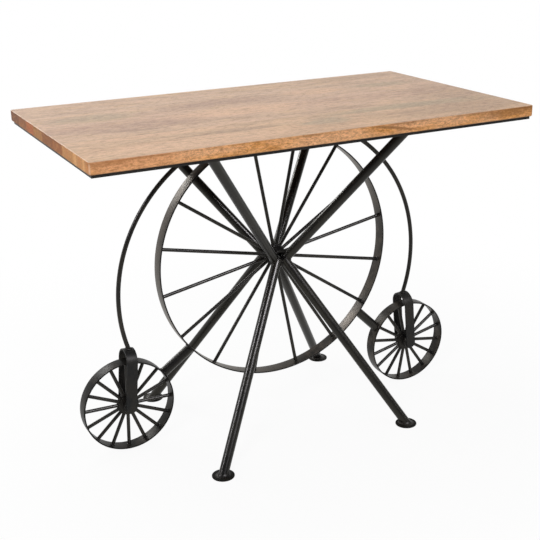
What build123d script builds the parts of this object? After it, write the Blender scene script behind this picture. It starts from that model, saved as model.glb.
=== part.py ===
from build123d import *

import os
from math import asin, atan2, cos, degrees, hypot, radians, sin, sqrt

# A console table on a welded steel base: a spoked wheel between two pairs of crossed tube legs, with a
# small spoked wheel in a bent strap fork at each end. Millimetres. The origin is on the floor under the
# middle of the top, +X runs along the top, +Y across it and +Z up.

# ---- driving dimensions -------------------------------------------------------------------------

# wooden top, glued up from staves that run along X
table_height = 750.0
top_length = 1010.0
top_width = 565.0
stave_proportions = [97, 66, 67, 74, 64, 56, 64, 72]  # how the staves share the width, front to back
top_thickness = 25.0
top_corner_radius = 5.0
top_upper_edge_radius = 1.8
top_lower_edge_radius = 3.5

# flat-bar frame under the top
frame_inset = 5.0
frame_bar_width = 25.0
frame_bar_thickness = 6.0
inner_rail_width = 30.0

# wood screws up through the frame bars
screw_shank_diameter = 4.5
screw_hole_play = 0.25
screw_head_diameter = 9.0
screw_head_height = 3.0
screw_depth_in_wood = 16.0
long_bar_screw_count = 3
end_bar_screw_count = 1
screw_end_distance = 100.0

# main wheel
wheel_gap_below_frame = 22.0
wheel_gap_above_floor = 114.0
main_wheel_offset = 4.5
band_width = 32.0
band_thickness = 3.0
spoke_count = 16
spoke_diameter = 8.0
main_spoke_start_angle = 10.4

# hub of the main wheel; the hubs of the small wheels have the same section
hub_diameter = 30.0
hub_bore_diameter = 20.0
hub_collar_diameter = 46.0
hub_collar_width = 16.0
hub_reach_into_legs = 6.0

# tube legs
leg_diameter = 22.0
leg_wall = 1.5
leg_gap_to_collar = 9.0
leg_spread = 480.0
leg_top_setback = 85.0
foot_setback = 70.0
upper_leg_offset_at_hub = 16.0
lower_leg_offset_at_hub = 7.0
upper_leg_run_past_hub = 8.0
lower_leg_stop_before_hub = 8.0
foot_rim_width = 14.0
foot_thickness = 3.0
foot_edge_chamfer = 0.8

# small wheels
small_wheel_diameter = 212.0
left_wheel_gap_above_floor = 9.0
right_wheel_gap_above_floor = 1.0
small_wheel_gap_to_main = 81.0
left_spoke_start_angle = -2.0
right_spoke_start_angle = 12.3

# strap forks over the small wheels
fork_strap_width = 25.0
fork_strap_thickness = 4.0
fork_gap_to_band = 9.0
fork_gap_over_wheel = 24.0
fork_reach_below_hub = 11.5
fork_lean = 11.0

# bent rods from the centre rail to the forks
rod_diameter = 10.0
rod_bend_start = 26.0
rod_pair_offset = 8.0
rod_landing_length = 20.0
rod_trim = 6.0

# braces between the main wheel and the small wheels
brace_diameter = 22.0
brace_wall = 1.5
left_brace_drop_at_main_wheel = 14.0
left_brace_drop_at_small_wheel = 10.0
right_brace_drop_at_main_wheel = 5.0
right_brace_drop_at_small_wheel = 14.0

# ---- sizes worked out from them -----------------------------------------------------------------

stave_widths = [top_width * share / sum(stave_proportions) for share in stave_proportions]
top_underside = table_height - top_thickness
frame_underside = top_underside - frame_bar_thickness
frame_length = top_length - 2 * frame_inset
frame_width = top_width - 2 * frame_inset
frame_inner_width = frame_width - 2 * frame_bar_width

main_radius = (frame_underside - wheel_gap_below_frame - wheel_gap_above_floor) / 2
main_hub_height = wheel_gap_above_floor + main_radius
leg_distance_at_hub = hub_collar_width / 2 + leg_gap_to_collar + leg_diameter / 2
main_hub_length = 2 * (hub_collar_width / 2 + leg_gap_to_collar + hub_reach_into_legs)
foot_diameter = leg_diameter + 2 * foot_rim_width

small_radius = small_wheel_diameter / 2
left_hub_height = left_wheel_gap_above_floor + small_radius
right_hub_height = right_wheel_gap_above_floor + small_radius
wheel_centre_distance = main_radius + small_wheel_gap_to_main + small_radius
small_hub_length = band_width + 2 * fork_gap_to_band

fork_outer_radius = small_hub_length / 2 + fork_strap_thickness
fork_rise = small_radius + fork_gap_over_wheel + fork_strap_thickness
fork_lean_angle = degrees(asin(fork_lean / fork_rise))


def along(point, direction, distance):
    """Return the point that lies the given distance from a point along a unit direction."""
    return Vector(point) + Vector(direction) * distance


def round_bar(start, end, diameter):
    """Return a solid round bar between two points."""
    axis = Vector(end) - Vector(start)
    plane = Plane(origin=start, z_dir=axis.normalized())
    return extrude(plane * Circle(diameter / 2), amount=axis.length)


def round_tube(start, end, diameter, wall):
    """Return a round tube between two points, open at both ends."""
    axis = Vector(end) - Vector(start)
    plane = Plane(origin=start, z_dir=axis.normalized())
    section = Circle(diameter / 2) - Circle(diameter / 2 - wall)
    return extrude(plane * section, amount=axis.length)


def cross_disc(centre_x, centre_z, radius, width):
    """Return a disc whose axis runs along Y, centred on the table's middle plane."""
    return Pos(centre_x, 0, centre_z) * Rot(X=90) * Cylinder(radius, width)


def largest_solid(shape):
    """Return the largest separate solid of a shape."""
    return max(shape.solids(), key=lambda solid: solid.volume)


# ---- top, frame and screws ----------------------------------------------------------------------


def evenly_spread(count, reach):
    """Return places from minus reach to reach, evenly spread. A single place is the middle."""
    if count == 1:
        return [0]
    return [reach * (2 * index / (count - 1) - 1) for index in range(count)]


def screw_places():
    """Return the (x, y) places of the screws, on the centre lines of the outer frame bars."""
    long_y = frame_width / 2 - frame_bar_width / 2
    end_x = frame_length / 2 - frame_bar_width / 2
    long_run = evenly_spread(long_bar_screw_count, frame_length / 2 - screw_end_distance)
    end_run = evenly_spread(end_bar_screw_count, frame_width / 2 - screw_end_distance)
    places = []
    for side in (-1, 1):
        places += [(x, side * long_y) for x in long_run]
        places += [(side * end_x, y) for y in end_run]
    return places


def wood_screw():
    """Return one wood screw with a flat round head, shank up, with the seat of its head at the origin."""
    downward = (Align.CENTER, Align.CENTER, Align.MAX)
    upward = (Align.CENTER, Align.CENTER, Align.MIN)
    head = Cylinder(screw_head_diameter / 2, screw_head_height, align=downward)
    shank = Cylinder(screw_shank_diameter / 2, frame_bar_thickness + screw_depth_in_wood, align=upward)
    return head + shank


def screw_drill(diameter, z):
    """Return the holes of all the screws, from a level up to the screw points' level."""
    depth = frame_underside + frame_bar_thickness + screw_depth_in_wood - z
    hole = Cylinder(diameter / 2, depth, align=(Align.CENTER, Align.CENTER, Align.MIN))
    return [Pos(x, y, z) * hole for x, y in screw_places()]


def top_staves():
    """Return the staves of the top, front to back: one rounded panel cut along its joint lines."""
    panel = Pos(Z=top_underside + top_thickness / 2) * Box(top_length, top_width, top_thickness)
    panel = fillet(panel.edges().filter_by(Axis.Z), top_corner_radius)
    panel = fillet(panel.faces().sort_by(Axis.Z)[-1].edges(), top_upper_edge_radius)
    panel = fillet(panel.faces().sort_by(Axis.Z)[0].edges(), top_lower_edge_radius)
    drill = screw_drill(screw_shank_diameter, top_underside)
    staves = []
    front = -top_width / 2
    for width in stave_widths:
        middle = front + width / 2
        slab = Pos(0, middle, top_underside + top_thickness / 2) * Box(2 * top_length, width, 2 * top_thickness)
        stave = panel & slab
        for hole in drill:
            if front - screw_shank_diameter < hole.center().Y < front + width + screw_shank_diameter:
                stave = stave - hole
        staves.append(stave)
        front += width
    return staves


def frame_bar(length_x, length_y, x, y):
    """Return one flat bar of the frame, lying under the top, with its screw holes."""
    height = frame_underside + frame_bar_thickness / 2
    bar = Pos(x, y, height) * Box(length_x, length_y, frame_bar_thickness)
    for hole in screw_drill(screw_shank_diameter + 2 * screw_hole_play, frame_underside):
        centre = hole.center()
        if abs(centre.X - x) < length_x / 2 and abs(centre.Y - y) < length_y / 2:
            bar = bar - hole
    return bar


def frame_nodes():
    """Return the bars of the frame by name."""
    long_y = frame_width / 2 - frame_bar_width / 2
    end_x = frame_length / 2 - frame_bar_width / 2
    centre_length = leg_spread - inner_rail_width
    return {
        "frame_front_bar": frame_bar(frame_length, frame_bar_width, 0, -long_y),
        "frame_back_bar": frame_bar(frame_length, frame_bar_width, 0, long_y),
        "frame_left_bar": frame_bar(frame_bar_width, frame_inner_width, -end_x, 0),
        "frame_right_bar": frame_bar(frame_bar_width, frame_inner_width, end_x, 0),
        "frame_left_cross_rail": frame_bar(inner_rail_width, frame_inner_width, -leg_spread / 2, 0),
        "frame_right_cross_rail": frame_bar(inner_rail_width, frame_inner_width, leg_spread / 2, 0),
        "frame_centre_rail": frame_bar(centre_length, inner_rail_width, 0, 0),
    }


def top_screws():
    """Return all the screws as one group of separate solids."""
    screw = wood_screw()
    return Compound(children=[Pos(x, y, frame_underside) * screw for x, y in screw_places()])


# ---- wheels -------------------------------------------------------------------------------------


def wheel_rim(centre_x, centre_z, radius):
    """Return the hoop of a wheel: a flat band bent round and welded into a ring."""
    outer = cross_disc(centre_x, centre_z, radius, band_width)
    return outer - cross_disc(centre_x, centre_z, radius - band_thickness, 2 * band_width)


def wheel_hub(centre_x, centre_z, length):
    """Return a hub: a pipe along Y with a raised collar in the middle for the spokes."""
    hub = Cylinder(hub_diameter / 2, length) + Cylinder(hub_collar_diameter / 2, hub_collar_width)
    return Pos(centre_x, 0, centre_z) * Rot(X=90) * (hub - Cylinder(hub_bore_diameter / 2, 2 * length))


def wheel_spoke(centre_x, centre_z, radius, angle):
    """Return one spoke, shaped to seat on the hub's collar and cut square where it meets the hoop."""
    direction = Vector(cos(radians(angle)), 0, sin(radians(angle)))
    centre = Vector(centre_x, 0, centre_z)
    reach = sqrt((radius - band_thickness) ** 2 - (spoke_diameter / 2) ** 2)
    bar = round_bar(centre, along(centre, direction, reach), spoke_diameter)
    return bar - cross_disc(centre_x, centre_z, hub_collar_diameter / 2, 2 * spoke_diameter)


def wheel_spokes(centre_x, centre_z, radius, start_angle):
    """Return the spokes of a wheel, evenly spread from a start angle."""
    step = 360 / spoke_count
    return [wheel_spoke(centre_x, centre_z, radius, start_angle + step * index) for index in range(spoke_count)]


# ---- legs ---------------------------------------------------------------------------------------


def leg_reach(outer_end, hub_x, hub_offset, run_past_hub):
    """Return where a leg of the front right corner stops at the hub.

    The leg's axis passes beside the hub's axis, and stops the given run beyond its point nearest to it.
    """
    beside = Vector(hub_x + hub_offset, -leg_distance_at_hub, main_hub_height)
    run = Vector(outer_end) - beside
    nearest = beside - run * (hub_offset * run.X / hypot(run.X, run.Z) ** 2)
    return along(nearest, run.normalized(), -run_past_hub)


def leg_tube(outer_end, hub_x, hub_offset, run_past_hub):
    """Return the tube and the solid outline of a leg of the front right corner.

    Its outer end is cut level, to stand on its foot plate or to meet the frame from below.
    """
    end_level = Vector(outer_end).Z
    hub_end = leg_reach(outer_end, hub_x, hub_offset, run_past_hub)
    direction = (Vector(outer_end) - hub_end).normalized()
    far_end = along(outer_end, direction, leg_diameter)
    span = 4 * top_length
    keep_box = Box(span, span, abs(end_level - main_hub_height) + leg_diameter)
    middle = (end_level + main_hub_height + leg_diameter * (1 if main_hub_height > end_level else -1)) / 2
    keep = Pos(0, 0, middle) * keep_box
    hub_pipe = cross_disc(hub_x, main_hub_height, hub_diameter / 2, main_hub_length)
    outline = round_bar(hub_end, far_end, leg_diameter) & keep
    tube = (round_tube(hub_end, far_end, leg_diameter, leg_wall) & keep) - hub_pipe
    return largest_solid(tube), outline


def front_legs(hub_x):
    """Return the four legs of the front by name, for a hub at the given place along X.

    The upper left tube runs on to the hub whole. The upper right tube is cut to fit round it, and the
    two lower tubes, which stop just below, are cut to fit round both.
    """
    upper_end = Vector(leg_spread / 2, leg_top_setback - top_width / 2, frame_underside)
    lower_end = Vector(leg_spread / 2, foot_setback - top_width / 2, foot_thickness)
    uppers, lowers = {}, {}
    for side, sign in (("left", -1), ("right", 1)):
        upper = leg_tube(upper_end, sign * hub_x, upper_leg_offset_at_hub, upper_leg_run_past_hub)
        lower = leg_tube(lower_end, sign * hub_x, lower_leg_offset_at_hub, -lower_leg_stop_before_hub)
        uppers[side] = upper if sign > 0 else [mirror(shape, Plane.YZ) for shape in upper]
        lowers[side] = lower if sign > 0 else [mirror(shape, Plane.YZ) for shape in lower]
    through, through_outline = uppers["left"]
    fitted, fitted_outline = uppers["right"]
    return {
        "left_upper": through,
        "right_upper": largest_solid(fitted - through_outline),
        "left_lower": largest_solid(lowers["left"][0] - through_outline - fitted_outline),
        "right_lower": largest_solid(lowers["right"][0] - through_outline - fitted_outline - lowers["left"][1]),
    }


def leg_nodes():
    """Return the eight leg halves by name. Those of the back are a front's, turned half round."""
    opposite = {"left": "right", "right": "left"}
    nodes = {f"front_{name}_leg": tube for name, tube in front_legs(main_wheel_offset).items()}
    for name, tube in front_legs(-main_wheel_offset).items():
        side, level = name.split("_")
        nodes[f"back_{opposite[side]}_{level}_leg"] = Rot(Z=180) * tube
    return nodes


def foot_plate(x, y):
    """Return one round foot plate with a bevelled upper edge."""
    plate = Cylinder(foot_diameter / 2, foot_thickness, align=(Align.CENTER, Align.CENTER, Align.MIN))
    plate = chamfer(plate.edges().sort_by(Axis.Z)[-1], foot_edge_chamfer)
    return Pos(x, y, 0) * plate


def foot_nodes():
    """Return the four foot plates by name."""
    reach_y = top_width / 2 - foot_setback
    nodes = {}
    for depth, side_y in (("front", -1), ("back", 1)):
        for side, side_x in (("left", -1), ("right", 1)):
            nodes[f"{depth}_{side}_foot"] = foot_plate(side_x * leg_spread / 2, side_y * reach_y)
    return nodes


# ---- small wheels' forks, rods and braces, modelled for the right-hand end -----------------------


def small_hub(main_x, hub_height):
    """Return the centre of the small wheel, for a main wheel at the given place along X."""
    drop = main_hub_height - hub_height
    return Vector(main_x + sqrt(wheel_centre_distance**2 - drop**2), 0, hub_height)


def fork_place(hub):
    """Return the place of the fork: at the small wheel's hub, leaning towards the middle of the table."""
    return Pos(hub) * Rot(Y=-fork_lean_angle)


def hairpin(side_reach, height, foot):
    """Return a filled hairpin outline, standing on the XY plane's middle and as thick as the strap is wide."""
    bend_centre = height - side_reach
    legs = Pos(Z=(bend_centre + foot) / 2) * Box(fork_strap_width, 2 * side_reach, bend_centre - foot)
    bend = Pos(Z=bend_centre) * Rot(Y=90) * Cylinder(side_reach, fork_strap_width)
    return legs + bend


def fork(hub):
    """Return the strap fork: a hairpin over the wheel with rounded ends beside the hub."""
    outer = hairpin(fork_outer_radius, fork_rise, -fork_reach_below_hub)
    inner = hairpin(fork_outer_radius - fork_strap_thickness, fork_rise - fork_strap_thickness, -2 * fork_rise)
    tip_centre = fork_strap_width / 2 - fork_reach_below_hub
    tongue = Pos(Z=(fork_rise + tip_centre) / 2) * Box(fork_strap_width, 4 * fork_outer_radius, fork_rise - tip_centre)
    tip = Pos(Z=tip_centre) * Rot(X=90) * Cylinder(fork_strap_width / 2, 4 * fork_outer_radius)
    return fork_place(hub) * ((outer - inner) & (tongue + tip))


def bent_rod(hub, bend_start):
    """Return the rod: a short landing under the centre rail, then one arc down to the fork's crown."""
    level = frame_underside - rod_diameter / 2
    crown = fork_place(hub) * Pos(Z=fork_rise)
    run = crown.position.X - bend_start
    drop = level - crown.position.Z
    bend_radius = (run**2 + drop**2) / (2 * drop)
    centre_z = level - bend_radius
    end_angle = degrees(atan2(crown.position.Z - centre_z, run)) - degrees(rod_trim / bend_radius)
    landing = Line((bend_start - rod_landing_length, 0, level), (bend_start, 0, level))
    arc = CenterArc((0, 0), bend_radius, 90, end_angle - 90)
    arc = Plane(origin=(bend_start, 0, centre_z), x_dir=(1, 0, 0), z_dir=(0, -1, 0)) * arc
    path = Wire([landing.edge(), arc.edge()])
    section = Plane(origin=path @ 0, z_dir=path % 0) * Circle(rod_diameter / 2)
    rod = sweep(section, path=path)
    return largest_solid(rod - fork_place(hub) * hairpin(fork_outer_radius, fork_rise, -fork_reach_below_hub))


def brace(main_x, hub, main_drop, small_drop):
    """Return the brace tube, both ends cut to fit the hoops.

    Its axis runs below the line between the hubs: by the first drop at the main wheel's hoop and by
    the second at the small wheel's.
    """
    main_hub = Vector(main_x, 0, main_hub_height)
    run = (hub - main_hub).normalized()
    below = Vector(run.Z, 0, -run.X)
    start = along(along(main_hub, run, main_radius), below, main_drop)
    end = along(along(hub, run, -small_radius), below, small_drop)
    direction = (end - start).normalized()
    tube = round_tube(
        along(start, direction, -brace_diameter), along(end, direction, brace_diameter), brace_diameter, brace_wall
    )
    tube = tube - cross_disc(main_x, main_hub_height, main_radius, band_width)
    return largest_solid(tube - cross_disc(hub.X, hub.Z, small_radius, band_width))


def small_wheel_nodes():
    """Return the pieces of both ends by name: wheel, fork, bent rod and brace.

    Each end is modelled as the right-hand end, and the left-hand one is then mirrored.
    """
    brace_drops = {
        "left": (left_brace_drop_at_main_wheel, left_brace_drop_at_small_wheel),
        "right": (right_brace_drop_at_main_wheel, right_brace_drop_at_small_wheel),
    }
    nodes = {}
    for side, sign, hub_height, start_angle in (
        ("left", -1, left_hub_height, left_spoke_start_angle),
        ("right", 1, right_hub_height, right_spoke_start_angle),
    ):
        main_x = sign * main_wheel_offset
        hub = small_hub(main_x, hub_height)
        x = sign * hub.X
        nodes[f"{side}_wheel_rim"] = wheel_rim(x, hub_height, small_radius)
        nodes[f"{side}_wheel_hub"] = wheel_hub(x, hub_height, small_hub_length)
        nodes[f"{side}_wheel_spokes"] = Compound(children=wheel_spokes(x, hub_height, small_radius, start_angle))
        held = {
            "fork": fork(hub),
            "bent_rod": bent_rod(hub, rod_bend_start + sign * rod_pair_offset),
            "brace": brace(main_x, hub, *brace_drops[side]),
        }
        for name, piece in held.items():
            nodes[f"{side}_{name}"] = piece if sign > 0 else mirror(piece, Plane.YZ)
    return nodes


# ---- everything ---------------------------------------------------------------------------------


def all_nodes():
    """Return every piece of the table by the name of its node."""
    nodes = {f"top_stave_{number}": stave for number, stave in enumerate(top_staves(), start=1)}
    nodes.update(frame_nodes())
    nodes["top_screws"] = top_screws()
    nodes["main_wheel_rim"] = wheel_rim(main_wheel_offset, main_hub_height, main_radius)
    nodes["main_wheel_hub"] = wheel_hub(main_wheel_offset, main_hub_height, main_hub_length)
    spokes = wheel_spokes(main_wheel_offset, main_hub_height, main_radius, main_spoke_start_angle)
    for number, spoke in enumerate(spokes, start=1):
        nodes[f"main_wheel_spoke_{number:02d}"] = spoke
    nodes.update(leg_nodes())
    nodes.update(foot_nodes())
    nodes.update(small_wheel_nodes())
    return nodes


os.makedirs("parts", exist_ok=True)
for node_name, shape in all_nodes().items():
    export_step(shape, f"parts/{node_name}.step")
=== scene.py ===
import logging
import math
from collections.abc import Callable
from dataclasses import dataclass, replace
from enum import Enum

import bmesh
import bpy
import numpy as np
from mathutils import Matrix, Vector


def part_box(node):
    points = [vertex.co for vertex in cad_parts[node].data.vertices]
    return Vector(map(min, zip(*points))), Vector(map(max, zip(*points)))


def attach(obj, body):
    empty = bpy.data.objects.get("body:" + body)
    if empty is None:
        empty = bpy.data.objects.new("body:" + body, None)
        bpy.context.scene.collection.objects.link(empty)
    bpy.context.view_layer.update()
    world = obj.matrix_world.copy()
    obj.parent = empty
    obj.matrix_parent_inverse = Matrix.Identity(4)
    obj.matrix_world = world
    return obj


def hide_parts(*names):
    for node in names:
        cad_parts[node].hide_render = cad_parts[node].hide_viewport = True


# The looks of a wagon wheel console table: a streaked wooden top on a welded black steel base with one
# large spoked wheel and two small ones. Everything is in metres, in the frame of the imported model: the
# origin is on the floor under the middle of the top, +X runs along the top, +Y goes away and +Z is up.

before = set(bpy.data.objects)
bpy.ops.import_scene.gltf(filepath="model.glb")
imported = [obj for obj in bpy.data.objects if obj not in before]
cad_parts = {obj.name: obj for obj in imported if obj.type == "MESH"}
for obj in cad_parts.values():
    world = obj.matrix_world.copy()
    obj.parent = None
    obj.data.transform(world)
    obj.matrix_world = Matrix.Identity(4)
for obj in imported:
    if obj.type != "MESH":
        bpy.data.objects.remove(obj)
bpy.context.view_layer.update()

LOG = logging.getLogger("wagon_wheel_table")
MM = 0.001
FULL_TURN = 2 * math.pi
AXIS_X, AXIS_Y, AXIS_Z = np.eye(3)
BODY = "root"
SHARP_ANGLE = math.radians(40)
MERGE_DISTANCE = 0.001 * MM
WHITE = (1.0, 1.0, 1.0)

Array = np.ndarray
Material = bpy.types.Material
Point = tuple[float, float, float]
Rgb = tuple[float, float, float]
Screen = tuple[int, int, int]


class Slot(Enum):
    """The material slots of the record."""

    WOOD = "top_wood"
    STEEL = "black_steel"
    ZINC = "screw_steel"


class Side(Enum):
    """One of two sides; the value is the sign of an axis."""

    @property
    def word(self) -> str:
        """The side's name as the nodes write it."""
        return self.name.lower()

    @property
    def other(self) -> "Side":
        """The side across from this one."""
        return type(self)(-self.value)


class End(Side):
    """The two ends of the table, along X."""

    LEFT = -1
    RIGHT = 1


class Face(Side):
    """The two faces of the big wheel, along Y."""

    FRONT = -1
    BACK = 1


# ---- measures and vectors ----


def middle_of(node: str) -> Array:
    """Return the middle of a CAD node's box."""
    low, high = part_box(node)
    return (np.array(low) + np.array(high)) / 2


def half_of(node: str) -> Array:
    """Return half the size of a CAD node's box along each axis."""
    low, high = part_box(node)
    return (np.array(high) - np.array(low)) / 2


def unit(vector: Array) -> Array:
    """Return vectors at length one, along the last axis."""
    return vector / np.linalg.norm(vector, axis=-1, keepdims=True)


def around(angle: Array | float, first: Array, second: Array) -> Array:
    """Return the angle's cosine times the first direction plus its sine times the second."""
    return np.cos(angle) * first + np.sin(angle) * second


def square_to(vectors: Array, along: Array) -> Array:
    """Return vectors without their parts along unit directions."""
    return vectors - np.sum(vectors * along, axis=-1, keepdims=True) * along


def linear(red: int, green: int, blue: int) -> Rgb:
    """Return a colour written in screen values from 0 to 255 as linear light.

    The formula is the usual screen curve: a short straight start, then a power of 2.4.

    Args:
        red: The red, from 0 to 255.
        green: The green.
        blue: The blue.

    Returns:
        The linear red, green and blue, from 0 to 1.
    """
    screen = np.array([red, green, blue]) / 255
    light = np.where(screen <= 0.04045, screen / 12.92, ((screen + 0.055) / 1.055) ** 2.4)
    return tuple(float(channel) for channel in light)


# ---- surfaces ----


def softened(corners: list[tuple[float, float]], radius: float, steps: int = 4) -> Array:
    """Return a closed outline with its corners rounded; its last point repeats its first.

    Each corner becomes a parabola between two points a radius away from it: the sum of the start,
    the corner and the end, weighted (1 - t) squared, 2t(1 - t) and t squared.

    Args:
        corners: The outline's corners, counter-clockwise.
        radius: How far from its corner a rounding starts.
        steps: The points of a rounding, less one.

    Returns:
        The outline's points as (points, 2).
    """
    point = np.array(corners, float)
    before = point + radius * unit(np.roll(point, 1, axis=0) - point)
    after = point + radius * unit(np.roll(point, -1, axis=0) - point)
    t = np.linspace(0, 1, steps + 1)[None, :, None]
    curve = (1 - t) ** 2 * before[:, None] + 2 * t * (1 - t) * point[:, None] + t**2 * after[:, None]
    outline = curve.reshape(-1, 2)
    return np.vstack([outline, outline[:1]])


def rectangle(width: float, height: float) -> list[tuple[float, float]]:
    """Return the corners of a centred rectangle, counter-clockwise."""
    across, up = width / 2, height / 2
    return [(-across, -up), (across, -up), (across, up), (-across, up)]


def turned(outline: Array, centre: Array, steps: int, first: Array, second: Array, axis: Array) -> Array:
    """Return a surface turned about an axis, as (angles, outline points, 3).

    A point of the outline is (radius, height). Turned by an angle, it lies at the centre plus its
    radius on the circle from the first direction to the second, plus its height along the axis.

    Args:
        outline: The points as (points, 2).
        centre: A point of the axis.
        steps: The number of steps round the axis.
        first: The direction at no turn, square to the axis.
        second: The direction at a quarter turn.
        axis: The axis's unit direction.

    Returns:
        The surface's grid.
    """
    angle = np.linspace(0, FULL_TURN, steps + 1)[:, None, None]
    return centre + outline[:, :1] * around(angle, first, second) + outline[:, 1:] * axis


def swept(path: Array, side: Array, up: Array, outlines: Array) -> Array:
    """Return a profile carried along a path: each point (u, v) lands u along the side, v along the up.

    Args:
        path: The path's points.
        side: The profile's first direction at each point.
        up: Its second direction there; side, up and the way along are a right-handed set.
        outlines: The profile at each point, as (path points, profile points, 2).

    Returns:
        The surface as (path points, profile points, 3).
    """
    return path[:, None] + outlines[..., :1] * side[:, None] + outlines[..., 1:] * up[:, None]


@dataclass(frozen=True)
class Weld:
    """The look of a weld bead: how thick it is and how its ripples run."""

    radius: float = 1.6 * MM
    ripple_length: float = 2.6 * MM
    ripple_depth: float = 0.08
    wander: float = 0.22
    around: int = 10

    def along(self, path: Array, hub: Array, closed: bool = True) -> Array:
        """Return a bead laid along a path.

        The bead is a round section whose radius follows two sums of cosines: the ripples of the weld
        pool and a slow wander. An open bead thins out to a point at both ends as a half ellipse.

        Args:
            path: The points of the bead's middle line.
            hub: A point that the line goes around, to set the section's first direction.
            closed: Whether the last point meets the first.

        Returns:
            The bead's grid, closed or pointed at its ends.
        """
        if closed:
            along = unit(np.roll(path, -1, axis=0) - np.roll(path, 1, axis=0))
        else:
            along = unit(np.gradient(path, axis=0))
        side = unit(square_to(path - hub, along))
        up = np.cross(along, side)
        step = np.linalg.norm(np.diff(path, axis=0, append=path[:1]), axis=1)
        run = np.concatenate([[0], np.cumsum(step)[:-1]])
        length = step.sum() if closed else run[-1]
        turns = max(round(length / self.ripple_length), 3)
        phase = FULL_TURN * run / length
        radius = self.radius * (
            1 + self.ripple_depth * np.cos(turns * phase) + self.wander * np.sin(2 * phase + turns) ** 2
        )
        if not closed:
            radius = radius * np.sqrt(np.clip(1 - (2 * run / length - 1) ** 2, 0, 1))
        angle = np.linspace(0, FULL_TURN, self.around + 1)
        ring = np.stack([np.cos(angle), np.sin(angle)], axis=-1)[None]
        grid = swept(path, side, up, ring * radius[:, None, None])
        return np.concatenate([grid, grid[:1]]) if closed else grid


@dataclass(frozen=True)
class Bar:
    """A straight round bar or tube between two points."""

    start: Array
    end: Array
    radius: float

    @property
    def along(self) -> Array:
        """The unit direction from the start to the end."""
        return unit(self.end - self.start)

    @property
    def length(self) -> float:
        """The distance from the start to the end."""
        return np.linalg.norm(self.end - self.start)

    def sides(self) -> tuple[Array, Array]:
        """Return two directions square to the bar; the first is level."""
        first = unit(np.cross(AXIS_Z, self.along))
        return first, np.cross(self.along, first)

    def lines(self, steps: int, extra: float = 0.0) -> Array:
        """Return where lines along the bar's surface start, evenly spread around it.

        Args:
            steps: The number of lines.
            extra: How far outside the surface they run.
        """
        angle = np.arange(steps)[:, None] * FULL_TURN / steps
        return self.start + (self.radius + extra) * around(angle, *self.sides())

    def reach(self, points: Array, along: Array) -> Array:
        """Return how far lines run before they meet this bar's surface; they miss it at infinity.

        With the parts along the bar taken away, the hit is the lower root of the quadratic that sets
        the distance from the bar's axis to its radius. A hit past either end of the bar is a miss.

        Args:
            points: Where the lines start, as (lines, 3).
            along: The unit direction of all the lines.

        Returns:
            The distance along each line.
        """
        offset = points - self.start
        cross_way, cross_offset = square_to(along, self.along), square_to(offset, self.along)
        square, half = cross_way @ cross_way, cross_offset @ cross_way
        root = half**2 - square * (np.sum(cross_offset**2, axis=1) - self.radius**2)
        distance = (-half - np.sqrt(np.maximum(root, 0))) / square
        place = (offset + distance[:, None] * along) @ self.along
        hit = (root >= 0) & (distance > 0) & (place > -self.radius) & (place < self.length)
        return np.where(hit, distance, np.inf)


def quads(rows: int, columns: int, first: int) -> Array:
    """Return a grid's four-sided faces; its points are numbered row by row from a first number.

    Args:
        rows: The grid's rows.
        columns: The grid's columns.
        first: The number of its first point.

    Returns:
        The corners' numbers as (faces, 4).
    """
    index = first + np.arange(rows * columns).reshape(rows, columns)
    corners = index[:-1, :-1], index[:-1, 1:], index[1:, 1:], index[1:, :-1]
    return np.stack(corners, axis=-1).reshape(-1, 4)


def new_mesh(name: str, grids: list[Array], finish: Material) -> bpy.types.Mesh:
    """Return a mesh of grids of points, in one finish.

    Args:
        name: The mesh's name.
        grids: Surfaces as (rows, columns, 3) arrays.
        finish: The mesh's material.

    Returns:
        The mesh, with the points of each grid one after another.
    """
    starts = np.cumsum([0] + [grid.shape[0] * grid.shape[1] for grid in grids])
    faces = np.concatenate([quads(*grid.shape[:2], first) for grid, first in zip(grids, starts)])
    mesh = bpy.data.meshes.new(name)
    mesh.from_pydata(np.concatenate([grid.reshape(-1, 3) for grid in grids]).tolist(), [], faces.tolist())
    mesh.materials.append(finish)
    return mesh


def new_object(name: str, data: bpy.types.ID) -> bpy.types.Object:
    """Return a new object of the scene.

    Args:
        name: The object's name.
        data: Its mesh, camera or lamp.

    Returns:
        The object, linked to the scene.
    """
    made = bpy.data.objects.new(name, data)
    bpy.context.scene.collection.objects.link(made)
    return made


def add_piece(
    name: str, grids: list[Array], finish: Material, replaced: tuple[str, ...] = ()
) -> None:
    """Make one piece from grids of points and let it ride on the table.

    Args:
        name: The piece's name.
        grids: Surfaces as (rows, columns, 3) arrays, wound so that their faces point outwards.
        finish: The piece's material.
        replaced: The CAD nodes that the piece stands for.
    """
    mesh = new_mesh(name, grids, finish)
    editable = bmesh.new()
    editable.from_mesh(mesh)
    bmesh.ops.remove_doubles(editable, verts=editable.verts, dist=MERGE_DISTANCE)
    bmesh.ops.dissolve_degenerate(editable, edges=editable.edges, dist=MERGE_DISTANCE / 2)
    editable.to_mesh(mesh)
    editable.free()
    mesh.shade_smooth()
    mesh.set_sharp_from_angle(angle=SHARP_ANGLE)
    piece = new_object(name, mesh)
    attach(piece, BODY)
    if replaced:
        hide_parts(*replaced)
    LOG.info("%s: %d faces", name, len(mesh.polygons))


def dress(node: str, finish: Material) -> None:
    """Give a CAD node its finish.

    Args:
        node: The CAD node's name.
        finish: The material for all of its slots.
    """
    for material_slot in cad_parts[node].material_slots:
        material_slot.material = finish
    LOG.info("%s: dressed in %s", node, finish.name)


# ---- shader graphs ----


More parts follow.
